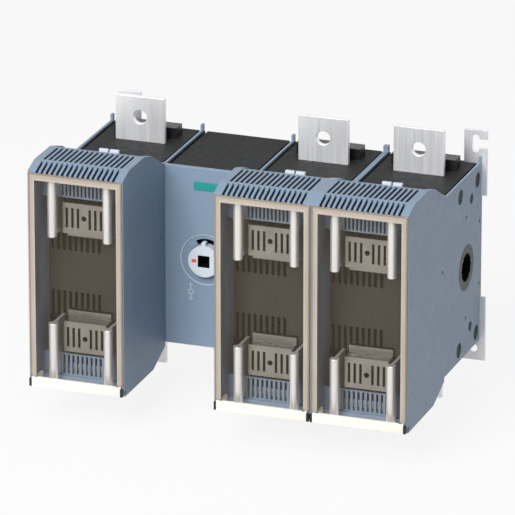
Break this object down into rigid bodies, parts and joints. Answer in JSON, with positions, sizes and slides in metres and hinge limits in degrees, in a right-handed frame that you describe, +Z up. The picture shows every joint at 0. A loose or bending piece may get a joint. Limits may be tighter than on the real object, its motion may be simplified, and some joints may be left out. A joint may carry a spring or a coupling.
{
  "type": "fuse switch disconnector",
  "caption": "Fuse switch disconnector: tall fuse housings with clear covers, a lower drive module between them, a rotary dial, terminal lugs above and below, and mounting feet.",
  "frame": {"origin": "in the rear mounting plane, at mid width of the row of modules and at the switch shaft's height", "axes": "+X along the row to the viewer's right, +Y to the back (the way the mounting plane faces), +Z up"},
  "size_m": [0.3885, 0.229, 0.274],
  "materials": {
    "blue_grey_plastic": "satin moulded plastic",
    "black_plastic": "matt moulded plastic",
    "clear_cover": "smoky transparent plastic",
    "silvered_copper": "silver plated, satin",
    "guide_steel": "bright zinc plated",
    "foot_steel": "pale zinc plated sheet",
    "shaft_steel": "plain steel",
    "label_plastic": "white plastic",
    "dial_plastic": "white plastic",
    "rotor_plastic": "dark insulating plastic",
    "teal_plate": "teal film",
    "socket_plastic": "dark grey plastic"
  },
  "bodies": {
    "base": {"fuse_housing_1": "blue_grey_plastic", "switch_case_left_1": "black_plastic", "switch_case_right_1": "black_plastic", "upper_terminal_1": "silvered_copper", "lower_terminal_1": "silvered_copper", "upper_fuse_contact_1": "silvered_copper", "lower_fuse_contact_1": "silvered_copper", "upper_contact_guides_1": "guide_steel", "lower_contact_guides_1": "guide_steel", "label_strip_1": "label_plastic", "fuse_housing_2": "blue_grey_plastic", "switch_case_left_2": "black_plastic", "switch_case_right_2": "black_plastic", "upper_terminal_2": "silvered_copper", "lower_terminal_2": "silvered_copper", "upper_fuse_contact_2": "silvered_copper", "lower_fuse_contact_2": "silvered_copper", "upper_contact_guides_2": "guide_steel", "lower_contact_guides_2": "guide_steel", "label_strip_2": "label_plastic", "fuse_housing_3": "blue_grey_plastic", "switch_case_left_3": "black_plastic", "switch_case_right_3": "black_plastic", "upper_terminal_3": "silvered_copper", "lower_terminal_3": "silvered_copper", "upper_fuse_contact_3": "silvered_copper", "lower_fuse_contact_3": "silvered_copper", "upper_contact_guides_3": "guide_steel", "lower_contact_guides_3": "guide_steel", "label_strip_3": "label_plastic", "mechanism_front": "blue_grey_plastic", "mechanism_case_left": "black_plastic", "mechanism_case_right": "black_plastic", "name_plate": "teal_plate", "foot_upper_left": "foot_steel", "foot_upper_right": "foot_steel", "foot_lower_left": "foot_steel", "foot_lower_right": "foot_steel", "foot_screws": "shaft_steel", "tie_rods": "shaft_steel"},
    "switch_shaft": {"rotor_1": "rotor_plastic", "contact_bridges_1": "silvered_copper", "rotor_2": "rotor_plastic", "contact_bridges_2": "silvered_copper", "rotor_3": "rotor_plastic", "contact_bridges_3": "silvered_copper", "main_shaft": "shaft_steel", "shaft_bevel_gear": "shaft_steel", "drive_socket_left": "socket_plastic", "drive_socket_right": "socket_plastic"},
    "front_drive": {"dial": "dial_plastic", "drive_shaft": "shaft_steel", "drive_bevel_gear": "shaft_steel"},
    "cover_1": {"fuse_cover_1": "clear_cover"},
    "cover_2": {"fuse_cover_2": "clear_cover"},
    "cover_3": {"fuse_cover_3": "clear_cover"}
  },
  "joints": [
    {"name": "switch_turn", "type": "hinge", "parent": "base", "child": "switch_shaft", "pos_m": [0, -0.048, 0], "axis": [1, 0, 0], "range_deg": [-90, 0]},
    {"name": "dial_turn", "type": "hinge", "parent": "base", "child": "front_drive", "pos_m": [-0.0525, -0.048, 0], "axis": [0, 1, 0], "range_deg": [0, 90]},
    {"name": "cover_1_turn", "type": "hinge", "parent": "base", "child": "cover_1", "pos_m": [-0.143, -0.222, -0.1028], "axis": [1, 0, 0], "range_deg": [0, 90]},
    {"name": "cover_2_turn", "type": "hinge", "parent": "base", "child": "cover_2", "pos_m": [0.046, -0.222, -0.1028], "axis": [1, 0, 0], "range_deg": [0, 90]},
    {"name": "cover_3_turn", "type": "hinge", "parent": "base", "child": "cover_3", "pos_m": [0.143, -0.222, -0.1028], "axis": [1, 0, 0], "range_deg": [0, 90]}
  ],
  "couplings": [
    {"joint": "dial_turn", "follows": "switch_turn", "ratio": -1}
  ]
}
